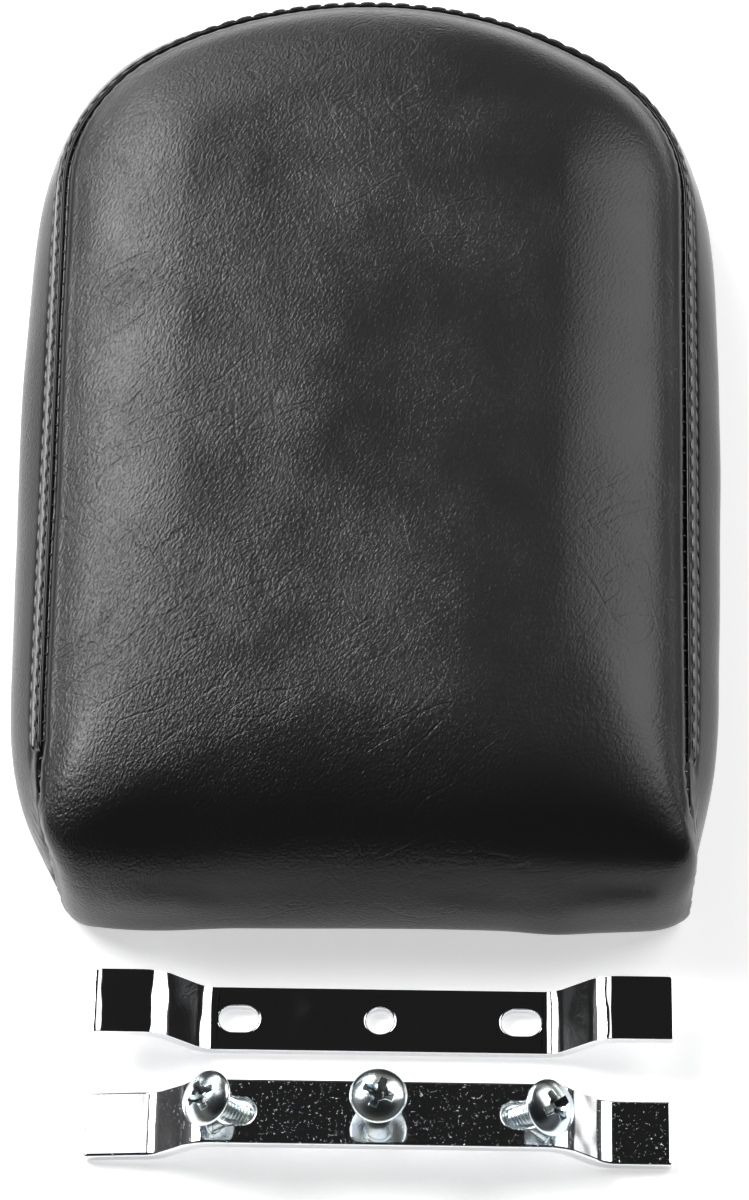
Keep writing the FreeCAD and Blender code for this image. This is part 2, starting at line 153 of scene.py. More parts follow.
def outlineHalf(outset, lower, taperDegrees):
    # right half of the tombstone outline, lower middle to crest
    c = cover
    rs, ra = c["shoulderRadius"] + outset, c["archRadius"] + outset
    cx = c["faceWidth"] / 2 - c["shoulderRadius"]
    archY = c["seamTop"] - c["archRadius"]
    cy = archY + math.sqrt((c["archRadius"] - c["shoulderRadius"]) ** 2 - cx ** 2)
    t = math.radians(taperDegrees)
    r = c["cornerRadius"] + max(-outset, 0.0) * c["cornerGrowth"]
    top = Vector((cx + rs * math.cos(t), cy - rs * math.sin(t)))
    inner = top + Vector((-math.cos(t), math.sin(t))) * r
    corner = inner + Vector((-math.sin(t), -math.cos(t))) * ((inner.y - lower - r) / math.cos(t))
    joint = math.atan2(cy - archY, cx)
    low, bend, side, shoulder, arch = c["counts"]
    fade = max(outset, 0.0)

    def faded(p):
        # the boxing's bulge dies out towards the lower corners
        share = max(0.0, (-c["fadeStart"] - p.y) / (c["lowerReach"] - c["fadeStart"]))
        return Vector((p.x - fade * share ** 2, p.y))

    foot = faded(Vector((corner.x, lower)))
    points = [Vector((foot.x * i / low, lower)) for i in range(low)]
    points += [faded(onArc(corner, r, -math.pi / 2 + (math.pi / 2 - t) * i / bend))
               for i in range(bend)]
    start = onArc(corner, r, -t)
    points += [faded(start.lerp(top, i / side)) for i in range(side)]
    points += [onArc((cx, cy), rs, -t + (joint + t) * i / shoulder) for i in range(shoulder)]
    points += [onArc((0, archY), ra, joint + (math.pi / 2 - joint) * i / arch)
               for i in range(arch + 1)]
    return points


def outlineLoop(outset, lower, taperDegrees):
    half = outlineHalf(outset, lower, taperDegrees)
    return half + [Vector((-p.x, p.y)) for p in reversed(half[1:-1])]


def sectionRow(t):
    # uniform cubic blend of the rows, so that the section is as smooth as the solid's
    i = min(int(t), len(coverRows) - 2)
    f = t - i
    weights = ((1 - f) ** 3 / 6, (3 * f ** 3 - 6 * f ** 2 + 4) / 6,
               (-3 * f ** 3 + 3 * f ** 2 + 3 * f + 1) / 6, f ** 3 / 6)
    rows = []
    for j in range(i - 1, i + 3):
        if 0 <= j < len(coverRows):
            rows.append(coverRows[j])
        else:
            # the row past an end goes on as the last two do
            a, b = (coverRows[0], coverRows[1]) if j < 0 else (coverRows[-1], coverRows[-2])
            rows.append([2 * p - q for p, q in zip(a, b)])
    return [sum(w * row[n] for w, row in zip(weights, rows)) for n in range(3)]


def tableValue(table, key, column):
    for low, high in zip(table, table[1:]):
        if key <= high[0]:
            f = min(max((key - low[0]) / (high[0] - low[0]), 0.0), 1.0)
            return low[column] + (high[column] - low[column]) * f
    return table[-1][column]


widest = max(row[1] for row in coverRows)
# how much less the boxing bulges along the pad: y, left side, right side
boxingEase = [(-150, 0.0, 0.0), (-60, 0.6, 0.0), (-8, 1.2, 0.3), (22, 1.9, 1.3), (53, 3.4, 2.5),
              (68, 4.9, 3.9), (83, 5.6, 5.4), (96, 4.2, 4.5), (108, 2.0, 3.2), (122, 0.0, 1.0),
              (150, 0.0, 0.0)]
# how far hand stuffing moves the cover, in millimetres
stuffing = {"leftTop": 1.9, "leftFoot": 1.3, "leftCorner": 2.8, "rightCorner": 4.4,
            "leftSide": 2.5, "leftShoulder": (1.1, 1.6), "rightShoulder": 0.8}


def handShape(p):
    # the stuffed cover isn't quite even: fuller at the left side and left shoulder
    x, y, z = p
    bulge = max(tableValue(coverRows, z, 1), 0.0) / widest
    edge = smoothStep(60, 84, abs(x)) * bulge
    ease = tableValue(boxingEase, y, 1 if x < 0 else 2) * edge
    x += ease if x < 0 else -ease
    if x < 0:
        y += stuffing["leftTop"] * bell(x + 60, 20) * smoothStep(95, 125, y) * bulge
        y -= (stuffing["leftFoot"] * bell(x + 58, 24) * smoothStep(-118, -134, y)
              * smoothStep(44, 30, z))
        x += (stuffing["leftCorner"] * bell(y + 128, 8) * smoothStep(-64, -80, x)
              * smoothStep(40, 26, z))
    else:
        x += (stuffing["rightCorner"] * smoothStep(60, 80, x) * smoothStep(-119, -135, y)
              * smoothStep(46, 36, z))
    rim = smoothStep(70, 84, abs(x)) * smoothStep(52, 38, z)
    if x < 0:
        reach = smoothStep(-140, -95, y) * smoothStep(125, 60, y)
        x -= stuffing["leftSide"] * rim * reach
        shoulder = bell(math.hypot(x + 62, y - 108), 42) * smoothStep(54, 46, z)
        x -= stuffing["leftShoulder"][0] * shoulder
        y += stuffing["leftShoulder"][1] * shoulder
    else:
        shoulder = bell(math.hypot(x - 62, y - 108), 36) * smoothStep(54, 46, z)
        y -= stuffing["rightShoulder"] * shoulder
    return Vector((x, y, z))


def buildCage():
    c = cover
    loops = []
    for outset, lower, z in hemRows:
        loops.append([Vector((p.x, p.y, z)) for p in outlineLoop(outset, lower, c["sideTaper"])])
    for i in range(c["sectionRows"] + 1):
        z, outset, lower = sectionRow((len(coverRows) - 1) * i / c["sectionRows"])
        taper = c["sideTaper"] + c["bulgeTaper"] * max(outset, 0) / c["boxingBulge"]
        loops.append([Vector((p.x, p.y, max(z, c["floorGap"])))
                      for p in outlineLoop(outset, lower, taper)])
    crownHeight, outset, lower = coverRows[-1]
    crown = outlineLoop(outset, lower, c["sideTaper"])
    middle = Vector((0, sum(p.y for p in crown) / len(crown)))
    for scale in c["crownRings"]:
        z = crownHeight + c["crownDome"] * (1 - scale ** 2)
        row = []
        for p in crown:
            # the rows get rounder towards the middle
            away = p - middle
            heading = away.normalized()
            evenOut = heading * (c["crownRadius"] - c["crownNarrow"] * abs(heading.x))
            mixed = middle + away.lerp(evenOut, (1 - scale) ** 0.7) * scale
            row.append(Vector((mixed.x, mixed.y, z)))
        loops.append(row)
    bm = bmesh.new()
    ring = bmesh.ops.create_circle(bm, segments=len(loops[0]), radius=1)["verts"]
    for v, p in zip(ring, loops[0]):
        v.co = p
    edges = list(bm.edges)
    for loop in loops[1:]:
        made = bmesh.ops.extrude_edge_only(bm, edges=edges)["geom"]
        fresh = {g for g in made if isinstance(g, bmesh.types.BMVert)}
        edges = [g for g in made if isinstance(g, bmesh.types.BMEdge)
                 and all(v in fresh for v in g.verts)]
        ring = [next(e.other_vert(v) for e in v.link_edges if e.other_vert(v) in fresh)
                for v in ring]
        for v, p in zip(ring, loop):
            v.co = p
    bmesh.ops.holes_fill(bm, edges=bm.edges[:], sides=0)
    for v in bm.verts:
        v.co = handShape(v.co) * mm
    bmesh.ops.recalc_face_normals(bm, faces=bm.faces[:])
    return bm


def fallHeight(y):
    # height of the seam in the side view, in mm
    c = cover
    across = (-y - c["dropStart"]) / (c["dropEnd"] - c["dropStart"])
    if across <= 0:
        return c["seamHeight"]
    for (a0, h0), (a1, h1) in zip(seamFall, seamFall[1:]):
        if across <= a1:
            f = (across - a0) / (a1 - a0)
            return c["seamHeight"] * (h0 + (h1 - h0) * f)
    return -1.0


clothSettings = {"quality": 6, "mass": 0.4, "tension_stiffness": 20, "compression_stiffness": 20,
                 "shear_stiffness": 8, "bending_stiffness": 4.0, "use_pressure": True,
                 "uniform_pressure_force": cover["pressure"], "vertex_group_mass": "sewn",
                 "pin_stiffness": 1.0, "shrink_min": 0.004}


def simulateCover(piece):
    # a short cloth run with pressure: the cover swells between its seam and its hem
    before = [v.co.copy() for v in piece.data.vertices]
    group = piece.vertex_groups.new(name="sewn")
    for v in piece.data.vertices:
        x, y, z = v.co / mm
        seam = bell(z - fallHeight(y), 3.0) if abs(x) > 40 or y > 0 else 0.0
        hold = max(0.5, seam, smoothStep(4.0, 1.0, z))
        group.add([v.index], hold, "REPLACE")
    cloth = piece.modifiers.new("stuffing", "CLOTH")
    for key, value in clothSettings.items():
        setattr(cloth.settings, key, value)
    cloth.settings.effector_weights.gravity = 0
    cloth.collision_settings.use_collision = False
    cloth.point_cache.frame_start = 1
    cloth.point_cache.frame_end = cover["clothFrames"]
    scene = bpy.context.scene
    for step in range(cover["clothFrames"]):
        scene.frame_set(step + 1)
    bakeModifiers(piece)
    scene.frame_set(1)
    limit = cover["swellLimit"] * mm
    for v, old in zip(piece.data.vertices, before):
        move = v.co - old
        if move.length > limit:
            move *= limit / move.length
        v.co = old + move
        v.co.z = max(v.co.z, cover["floorGap"] * mm)
    piece.vertex_groups.clear()


def seamLine(tree):
    # points along the seam, left lower corner over the arch to the right lower corner
    c = cover
    end, castFrom, pointsDown = c["dropEnd"] * 1.012, 150, 24
    falling = []
    for i in range(pointsDown):
        y = -end + (end - c["dropStart"]) * (i / pointsDown) ** 0.7
        falling.append((y, max(fallHeight(y), 1.0)))
    flat = [p for p in outlineHalf(0.0, -c["lowerReach"], c["sideTaper"])
            if p.y > -c["dropStart"] + 0.5 and p.x > 1 or p.y > 100]
    left, right = [], []
    for sign, half in ((-1, left), (1, right)):
        for y, z in falling:
            start = Vector((sign * castFrom, y, z)) * mm
            half.append(tree.ray_cast(start, Vector((-sign, 0, 0)))[0])
        for p in flat:
            half.append(tree.find_nearest(Vector((sign * p.x, p.y, c["seamHeight"])) * mm)[0])
    points = left + right[-2::-1]
    # even steps along the line
    step = 0.6 * mm
    lengths = [0.0]
    for a, b in zip(points, points[1:]):
        lengths.append(lengths[-1] + (b - a).length)
    total = lengths[-1]
    count = int(total / step)
    even = []
    k = 0
    for i in range(count + 1):
        s = total * i / count
        while k < len(lengths) - 2 and lengths[k + 1] < s:
            k += 1
        f = (s - lengths[k]) / max(lengths[k + 1] - lengths[k], 1e-9)
        even.append(points[k].lerp(points[k + 1], f))
    for _ in range(3):
        inner = [(a + b * 2 + d) / 4 for a, b, d in zip(even, even[1:], even[2:])]
        even = [even[0]] + inner + [even[-1]]
    return even, total / count


def seamFrames(line, tree):
    frames = []
    for i, p in enumerate(line):
        a, b = line[max(i - 1, 0)], line[min(i + 1, len(line) - 1)]
        along = (b - a).normalized()
        place, normal = tree.find_nearest(p)[:2]
        # along x normal points to the boxing's side on a left-to-right run over the arch
        out = normal.cross(along).normalized()
        frames.append((place, along, normal, out))
    return frames


print("cover cage")
padCover = newPiece("padCover", buildCage())
print("cloth run of the cover")
simulateCover(padCover)
finer = padCover.modifiers.new("finer", "SUBSURF")
finer.levels = finer.render_levels = 2
bakeModifiers(padCover)

coverTree = BVHTree.FromObject(padCover, bpy.context.evaluated_depsgraph_get())
seam, seamStep = seamLine(coverTree)
frames = seamFrames(seam, coverTree)
# the boxing's side is the one that lies lower
if frames[len(frames) // 2][3].z > 0:
    frames = [(p, a, n, -o) for p, a, n, o in frames]
print("seam length %.0f mm" % (seamStep * (len(seam) - 1) / mm))


def walkFromSeam(index, distance, step=0.5 * mm):
    # a point on the cover at a distance from the seam, towards the boxing where positive
    place, along, normal, out = frames[index]
    sign = 1 if distance >= 0 else -1
    left = abs(distance)
    heading = out * sign
    while left > 1e-9:
        move = min(step, left)
        found, normal = coverTree.find_nearest(place + heading * move)[:2]
        place = found
        heading = (heading - normal * heading.dot(normal)).normalized()
        left -= move
    return place, along, normal


seamTree = KDTree(len(seam))
for i, p in enumerate(seam):
    seamTree.insert(p, i)
seamTree.balance()

stitching = {"pitch": 4.95 * mm, "bandEnd": -105.0 * mm, "band": (0.4 * mm, 5.4 * mm),
             "height": 0.589 * mm, "backing": 0.5 * mm, "underside": -0.35 * mm,
             "across": 26, "endColumns": 5, "lines": (1.8 * mm, 4.55 * mm),
             "lifts": (1.22 * mm, 0.74 * mm), "threadRadius": 0.48 * mm,
             "linkRadius": 0.2 * mm, "linkLift": -0.32 * mm}
# relief of the cover beside the seam: height, place towards the boxing, width, in millimetres
relief = {"groove": (1.15, 0.6), "plainGroove": (0.7, 0.25), "faceRoll": (0.35, -2.4, 1.5),
          "bandDip": (0.45, 6.0, 1.1), "sidePucker": (0.14, 6.4, 1.5),
          "facePucker": (0.10, -1.4, 0.9), "reach": 14}
# ridges of the band: place, width, steady height, height that comes and goes with the stitches
bandRidges = [(0.95, 0.34, 0.38, 0.0), (1.8, 0.45, 0.36, -0.12), (1.35, 0.16, -0.22, 0.0),
              (4.1, 0.26, 0.42, 0.0), (4.95, 0.3, 0.26, -0.20), (4.55, 0.2, -0.12, -0.18),
              (3.0, 0.65, -0.32, 0.0), (1.8, 0.7, 0.0, -0.22)]


def detailCover(piece):
    mesh = piece.data
    mesh.calc_loop_triangles()
    normals = [v.normal.copy() for v in mesh.vertices]
    fade = mesh.attributes.new("grainFade", "FLOAT", "POINT")
    values = [1.0] * len(mesh.vertices)
    for v, n in zip(mesh.vertices, normals):
        p = v.co / mm
        calm = smoothStep(3.0, 8.0, p.z)
        soft = noise.noise(v.co * 22) * 0.35 + noise.noise(v.co * 55 + Vector((3, 1, 7))) * 0.12
        move = soft * calm
        if p.y < -115:
            # the turned lower edge is slightly wavy
            move += (noise.noise(Vector((v.co.x * 30, 2.0, v.co.z * 12))) * 1.1
                     * smoothStep(-115, -132, p.y) * smoothStep(40, 14, p.z))
            move += 0.7 * bell(p.x - 49, 9) * bell(p.z - 6, 7) * calm
        found, index, gap = seamTree.find(v.co)
        if gap < relief["reach"] * mm:
            place, along, normal, out = frames[index]
            d = (v.co - place).dot(out) / mm
            far = gap / mm
            side = -far if d < 0 else far
            s = index * seamStep
            wave = math.cos(2 * math.pi * s / stitching["pitch"])
            plain = smoothStep(-104, -109, p.y)
            deep, wide = relief["groove"]
            more, wider = relief["plainGroove"]
            move -= (deep + more * plain) * bell(side, wide + wider * plain)
            for name, factor in (("faceRoll", 1), ("bandDip", plain - 1), ("sidePucker", wave),
                                 ("facePucker", wave * (1 + 1.5 * plain))):
                height, spot, width = relief[name]
                move += height * factor * bell(side - spot, width)
            values[v.index] = smoothStep(1.5, 5.5, far) if side < 0 else 0.6
        v.co += n * move * mm
        v.co.z = max(v.co.z, cover["floorGap"] * mm)
    fade.data.foreach_set("value", values)
    # face vinyl 0, boxing vinyl 1
    for face in mesh.polygons:
        c = face.center / mm
        onFace = c.z > fallHeight(c.y)
        face.material_index = 0 if onFace else 1


print("cover detail")
detailCover(padCover)
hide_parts("face_panel", "side_boxing", "foam_core")


def bandHeight(d, s):
    # the folded edge at the seam, a flat, and a thin ridge outside the second row
    low, high = stitching["band"]
    x = (d - low) / (high - low)
    wave = 0.5 + 0.5 * math.cos(2 * math.pi * s / stitching["pitch"])
    h = stitching["height"] * max(1 - abs(2 * x - 1) ** 9, 0.0)
    for spot, width, steady, waving in bandRidges:
        h += (steady + waving * wave) * mm * bell(d - spot * mm, width * mm)
    return h


def buildBand():
    inside = [i for i, f in enumerate(frames) if f[0].y > stitching["bandEnd"]]
    first, last = inside[0], inside[-1]
    low, high = stitching["band"]
    across = stitching["across"]
    bm = bmesh.new()
    count = last + 1 - first
    grid = bmesh.ops.create_grid(bm, x_segments=count - 1, y_segments=across, size=1)["verts"]
    columns = []
    for index in range(first, last + 1):
        line = []
        place, along, normal = walkFromSeam(index, low)
        for k in range(across + 1):
            d = low + (high - low) * k / across
            if k:
                heading = normal.cross(along).normalized()
                if heading.z > 0 and abs(heading.z) > 0.05 or heading.dot(frames[index][3]) < 0:
                    heading = -heading
                step = heading * ((high - low) / across)
                place, normal = coverTree.find_nearest(place + step)[:2]
            line.append((place.copy(), normal.copy(), d))
        columns.append(line)
    for v in grid:
        i = round((v.co.x + 1) / 2 * (count - 1))
        k = round((v.co.y + 1) / 2 * across)
        place, normal, d = columns[i][k]
        h = bandHeight(d, i * seamStep - stitching["pitch"] / 2)
        h *= smoothStep(-1, stitching["endColumns"], min(i, count - 1 - i))
        if min(k, across - k) == 0:
            h = stitching["underside"]
        v.co = place + normal * h
    bmesh.ops.recalc_face_normals(bm, faces=bm.faces[:])
    if sum(f.normal.z for f in bm.faces) < 0:
        bmesh.ops.reverse_faces(bm, faces=bm.faces[:])
    return bm, columns, first, last


print("seam band")
bandMesh, bandColumns, bandFirst, bandLast = buildBand()
seamBand = newPiece("seamBand", bandMesh)
thick = seamBand.modifiers.new("thick", "SOLIDIFY")
thick.thickness = stitching["backing"]
thick.offset = -1
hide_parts("seam_band")


def threadSpot(s, d):
    # where a thread dips into the band, and the cover's normal there
    column = min(max(int(round(s / seamStep)) - bandFirst, 0), len(bandColumns) - 1)
    low, high = stitching["band"]
    across = stitching["across"]
    k = min(max(int(round((d - low) / (high - low) * across)), 0), across)
    return bandColumns[column][k][:2]


def addThread(bm, a, b, radius, lift):
    # one stitch: a slim bead of thread between two needle holes
    middle = (a[0] + b[0]) / 2
    along = b[0] - a[0]
    normal = (a[1] + b[1]).normalized()
    side = along.cross(normal).normalized()
    up = side.cross(along).normalized()
    turn = Matrix((along.normalized(), side, up)).transposed().to_4x4()
    size = Matrix.Diagonal((along.length / 2, radius, radius * 0.9, 1))
    place = Matrix.Translation(middle + normal * lift)
    bmesh.ops.create_uvsphere(bm, u_segments=8, v_segments=6, radius=1,
                              matrix=place @ turn @ size @ Matrix.Rotation(math.pi / 2, 4, "Y"))


def buildStitches():
    bm = bmesh.new()
    pitch = stitching["pitch"]
    start, end = bandFirst * seamStep + pitch / 2, bandLast * seamStep - pitch / 2
    count = int((end - start) / pitch)
    for n in range(count):
        s0 = start + n * pitch
        for d, lift in zip(stitching["lines"], stitching["lifts"]):
            a = threadSpot(s0 + pitch * 0.08, d - 0.1 * mm)
            b = threadSpot(s0 + pitch * 0.92, d + 0.1 * mm)
            addThread(bm, a, b, stitching["threadRadius"], lift)
    return bm


def buildLinks():
    # the thread that shows in the seam's gap at each stitch
    bm = bmesh.new()
    pitch = stitching["pitch"]
    total = (len(frames) - 1) * seamStep
    for n in range(int(total / pitch)):
        index = int((n + 0.5) * pitch / seamStep)
        place, along, normal, out = frames[index]
        a = (place - out * 0.9 * mm + along * 0.25 * mm, normal)
        b = (place + out * 0.9 * mm - along * 0.25 * mm, normal)
        addThread(bm, a, b, stitching["linkRadius"], stitching["linkLift"])
    return bm


print("stitches")
topStitches = newPiece("topStitches", buildStitches())
seamLinks = newPiece("seamLinks", buildLinks())

# staples along the hem, with how far each one turns and strays
staples = {"inset": -12.0, "lower": -115.5, "length": 9.5, "wire": 0.55, "spacing": 17.0,
           "turn": 0.12, "stray": 0.8, "height": 0.35, "round": 0.16}


def buildStaples():
    t = staples
    loop = outlineLoop(t["inset"], t["lower"], cover["sideTaper"])
    bm = bmesh.new()
    run = 0.0
    for a, b in zip(loop, loop[1:] + loop[:1]):
        length = (b - a).length
        while run < length:
            p = a.lerp(b, run / length)
            along = (b - a).normalized()
            angle = math.atan2(along.y, along.x) + random.uniform(-t["turn"], t["turn"])
            shift = random.uniform(-t["stray"], t["stray"])
            made = bmesh.ops.create_cube(bm, size=1)["verts"]
            spot = Vector((p.x - along.y * shift, p.y + along.x * shift, t["height"]))
            place = Matrix.Translation(spot * mm) @ Matrix.Rotation(angle, 4, "Z")
            size = Matrix.Diagonal((t["length"] * mm, 1.2 * t["wire"] * mm, t["wire"] * mm, 1))
            bmesh.ops.transform(bm, verts=made, matrix=place @ size)
            run += t["spacing"]
        run -= length
    roundEdges(bm, bm.edges[:], t["round"] * mm, 2)
    return bm


hemStaples = newPiece("hemStaples", buildStaples())

# the straps, in millimetres: "roll" rounds the lower edges and "burr" the upper ones
strap = {
    "width": 17.4, "thick": 3.3, "length": 150.0, "offset": 11.2, "start": 46.5, "run": 11.5,
    "bend": 7.5, "hole": 7.1, "spacing": 73.0, "slot": 10.2, "flare": 0.7,
    "corner": 0.7, "roll": 0.75, "burr": 0.18, "shift": 4.4, "upperY": -162.8, "lowerY": -192.6,
    "tiltLeft": 0.1, "padStart": 61.0, "droop": (0.9, 0.15), "droopStart": 71.5,
    "bendZone": (40.0, 64.0), "bendCuts": 46, "endCuts": 16, "endStep": 1.06,
    "sharpAngle": 32,
}


def bendPoint(x, w):
    # a point of the straight strap, w above its lower side, on the joggled one
    s = strap
    half = s["thick"] / 2
    slope = math.atan2(s["offset"], s["run"])
    r = s["bend"] + half
    cut = r * math.tan(slope / 2)
    level = s["start"] - math.tan(slope / 2) * half - cut
    leg = math.hypot(s["run"], s["offset"]) - 2 * cut
    # along the middle line: each stretch with the way it turns
    px, pz, angle, left = 0.0, half, 0.0, abs(x)
    for length, way in ((level, 0), (r * slope, 1), (leg, 0), (r * slope, -1), (math.inf, 0)):
        step = min(left, length)
        left -= step
        turned = way * step / r
        chord = 2 * r * math.sin(step / r / 2) if way else step
        px += chord * math.cos(angle + turned / 2)
        pz += chord * math.sin(angle + turned / 2)
        angle += turned
    px -= math.sin(angle) * (w - half)
    return Vector((-px if x < 0 else px, 0, pz + math.cos(angle) * (w - half)))


def flatHalfLength():
    # half of the straight strap's length, so that its joggled ends come out right
    low, high = 60.0, 100.0
    for _ in range(40):
        middle = (low + high) / 2
        if bendPoint(middle, strap["thick"] / 2).x < strap["length"] / 2:
            low = middle
        else:
            high = middle
    return low


def holeCutters():
    # two slots and a round hole
    bm = bmesh.new()
    s = strap
    r = s["hole"] / 2
    stretch = (s["slot"] - s["hole"]) / 2
    for x, grow in ((0, 0), (-s["spacing"] / 2, stretch), (s["spacing"] / 2, stretch)):
        made = bmesh.ops.create_cone(bm, cap_ends=True, segments=48, radius1=r, radius2=r,
                                     depth=s["thick"] * 3)["verts"]
        for v in made:
            v.co.x += x + (grow if v.co.x > 1e-6 else -grow if v.co.x < -1e-6 else 0)
            v.co.z += s["thick"] / 2
    toMetres(bm)
    return meshObject("cutters", bm)


def buildStrap(name, placeY, overturned):
    s = strap
    half = flatHalfLength()
    bm = bmesh.new()
    bmesh.ops.create_cube(bm, size=1)
    bmesh.ops.scale(bm, vec=(2 * half, s["width"], s["thick"]), verts=bm.verts[:])
    bmesh.ops.translate(bm, vec=(0, 0, s["thick"] / 2), verts=bm.verts[:])
    upright = [e for e in bm.edges if abs(e.verts[0].co.z - e.verts[1].co.z) > 1]
    roundEdges(bm, upright, s["corner"], 4)
    below = [e for e in bm.edges if all(v.co.z < 1e-6 for v in e.verts)]
    roundEdges(bm, below, s["roll"], 5)
    above = [e for e in bm.edges if all(v.co.z > s["thick"] - 1e-6 for v in e.verts)]
    roundEdges(bm, above, s["burr"], 2)
    # cross cuts, closer where the strap bends
    start, end = s["bendZone"]
    cuts = [start + (end - start) * i / s["bendCuts"] for i in range(1, s["bendCuts"])]
    cuts += [end + s["endStep"] * i for i in range(1, s["endCuts"] + 1)]
    for reach in cuts:
        for sign in (-1, 1):
            if reach <= half - 0.2:
                geom = bm.verts[:] + bm.edges[:] + bm.faces[:]
                bmesh.ops.bisect_plane(bm, geom=geom, plane_co=(sign * reach, 0, 0),
                                       plane_no=(1, 0, 0))
    for v in bm.verts:
        y = v.co.y
        v.co = bendPoint(v.co.x, v.co.z)
        v.co.y = y
        reach = abs(v.co.x)
        if overturned and v.co.x < 0:
            # the left end pad slopes a little to its tip
            v.co.z -= (s["tiltLeft"] * (s["length"] / 2 - max(reach, s["padStart"]))
                       * smoothStep(48, 62, reach))
        if not overturned:
            # the ends droop at their tips, the left one more
            droop = s["droop"][0 if v.co.x < 0 else 1]
            run = s["length"] / 2 - s["droopStart"]
            v.co.z -= droop * max(0.0, (reach - s["droopStart"]) / run) ** 2
    toMetres(bm)
    piece = newPiece(name, bm)
    cutAway(piece, holeCutters())
    # the holes' rims, then the place on the table
    bm = bmesh.new()
    bm.from_mesh(piece.data)
    bmesh.ops.remove_doubles(bm, verts=bm.verts[:], dist=0.002 * mm)
    level = (0.0, s["thick"] * mm)
    rims = []
    for e in bm.edges:
        a, b = e.verts
        flat = any(abs(a.co.z - z) < 1e-6 and abs(b.co.z - z) < 1e-6 for z in level)
        middle = (a.co + b.co) / 2
        inside = abs(middle.y) < s["hole"] / 2 * mm * 1.02 and abs(middle.x) < 43 * mm
        sharp = len(e.link_faces) == 2 and e.calc_face_angle(0) > 1.0
        if flat and inside and sharp:
            rims.append(e)
    roundEdges(bm, rims, s["flare"] * mm, 3)
    if overturned:
        lift = Matrix.Translation((0, 0, (s["offset"] + s["thick"]) * mm))
        bmesh.ops.transform(bm, verts=bm.verts[:], matrix=lift @ Matrix.Rotation(math.pi, 4, "X"))
    bmesh.ops.translate(bm, vec=(s["shift"] * mm, placeY * mm, 0), verts=bm.verts[:])
    bm.to_mesh(piece.data)
    bm.free()
    piece.data.set_sharp_from_angle(angle=math.radians(s["sharpAngle"]))
    # large flat faces keep their own normals beside the rolled edges
    even = piece.modifiers.new("evenNormals", "WEIGHTED_NORMAL")
    even.keep_sharp = True
    even.weight = 90
    bakeModifiers(piece)
    return piece


print("strap brackets")
bracketUpper = buildStrap("bracketUpper", strap["upperY"], False)
bracketLower = buildStrap("bracketLower", strap["lowerY"], True)
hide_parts("bracket_upper")
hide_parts("bracket_lower")

# the screws, in millimetres: each leans by its two angles and is turned by its third
screw = {
    "major": 6.2, "minor": 4.5, "pitch": 1.27, "length": 25.4, "tip": 0.8, "threadSteps": 28,
    "head": 14.5, "height": 3.9, "rim": 1.1, "span": 10.8, "depth": 3.2, "wing": 2.3,
    "recessRound": 0.13, "sharpAngle": 38,
    "leans": {"screwLeft": ("screw_left", -36.5, -35.0, 0.0, 20.0),
              "screwMiddle": ("screw_middle", 0.0, 0.0, 0.0, 68.0),
              "screwRight": ("screw_right", 36.5, 35.2, 6.5, 35.0)},
}


def headSphere():
    rise = screw["height"] - screw["rim"]
    return ((screw["head"] / 2) ** 2 + rise ** 2) / (2 * rise)


def recessCutter():
    s = screw
    top = s["length"] + s["height"]
    bm = bmesh.new()
    for turn in (0, 90):
        made = bmesh.ops.create_cube(bm, size=1)["verts"]
        for v in made:
            deep = v.co.z < 0
            long = s["span"] * (0.30 if deep else 1.0)
            wide = s["wing"] * (0.55 if deep else 1.05)
            z = top - s["depth"] if deep else top + 0.4
            v.co = Vector((v.co.x * long, v.co.y * wide, z))
        bmesh.ops.rotate(bm, verts=made, matrix=Matrix.Rotation(math.radians(turn), 3, "Z"))
    bmesh.ops.create_cone(bm, cap_ends=True, segments=24, radius1=s["wing"] * 0.5,
                          radius2=s["wing"] * 1.25, depth=s["depth"] + 0.8,
                          matrix=Matrix.Translation((0, 0, top - s["depth"] / 2 + 0.2)))
    toMetres(bm)
    return meshObject("recess", bm)


def buildHead():
    s = screw
    rim, base = s["head"] / 2, s["length"]
    sphere = headSphere()
    full = math.asin(rim / sphere)
    neck = s["major"] / 2
    profile = [(0.0, base - 0.4), (neck + 0.25, base - 0.4), (neck + 0.6, base),
               (rim - 0.45, base), (rim - 0.12, base + 0.12), (rim, base + 0.45),
               (rim, base + s["rim"] - 0.3), (rim - 0.12, base + s["rim"])]
    domeSteps = 12
    for i in range(1, domeSteps + 1):
        a = full * (1 - i / domeSteps) * 0.975
        profile.append((sphere * math.sin(a), base + s["height"] - sphere + sphere * math.cos(a)))
    bm = bmesh.new()
    verts = [bm.verts.new((x, 0, z)) for x, z in profile]
    edges = [bm.edges.new(pair) for pair in zip(verts, verts[1:])]
    bmesh.ops.spin(bm, geom=verts + edges, cent=(0, 0, 0), axis=(0, 0, 1), angle=2 * math.pi,
                   steps=64, use_merge=True)
    bmesh.ops.remove_doubles(bm, verts=bm.verts[:], dist=0.001)
    bmesh.ops.recalc_face_normals(bm, faces=bm.faces[:])
    toMetres(bm)
    return bm


